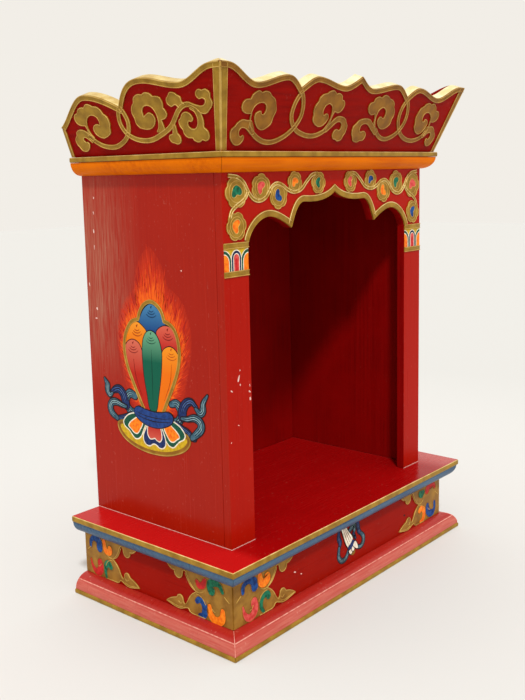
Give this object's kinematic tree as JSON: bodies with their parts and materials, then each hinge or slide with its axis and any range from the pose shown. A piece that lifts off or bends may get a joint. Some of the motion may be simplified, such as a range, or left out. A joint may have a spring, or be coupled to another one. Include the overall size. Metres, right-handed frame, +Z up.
{
  "type": "home altar",
  "caption": "Small painted and gilded wooden altar shrine with a cusped arch niche on a moulded plinth and a crown of leaning carved crest boards.",
  "frame": {"origin": "middle of the footprint, on the surface that the altar stands on", "axes": "+Z up, -Y out of the arch towards the viewer, +X to the viewer's right"},
  "size_m": [0.403, 0.2266, 0.5201],
  "materials": {
    "red_lacquer": "red paint under a semi-gloss lacquer",
    "plinth_paint": "red painted board with raised gilt corner ornament",
    "gold_paint": "bronze gold paint over raised gesso, satin",
    "blue_paint": "blue gloss paint",
    "orange_paint": "orange gloss paint",
    "back_paint": "dark red paint, thin and dull",
    "plain_wood": "bare aged wood"
  },
  "bodies": {
    "root": {"skirt_front": "red_lacquer", "skirt_left": "red_lacquer", "skirt_right": "red_lacquer", "plinth_front": "plinth_paint", "plinth_left": "plinth_paint", "plinth_right": "plinth_paint", "plinth_back": "plain_wood", "ledge_moulding_front": "blue_paint", "ledge_moulding_left": "blue_paint", "ledge_moulding_right": "blue_paint", "ledge_board": "red_lacquer", "side_panel_left": "red_lacquer", "side_panel_right": "red_lacquer", "back_panel": "back_paint", "arch_front": "red_lacquer", "cornice_moulding_front": "orange_paint", "cornice_moulding_left": "orange_paint", "cornice_moulding_right": "orange_paint", "roof_board": "gold_paint", "crown_front": "red_lacquer", "crown_left": "red_lacquer", "crown_right": "red_lacquer"}
  },
  "joints": []
}
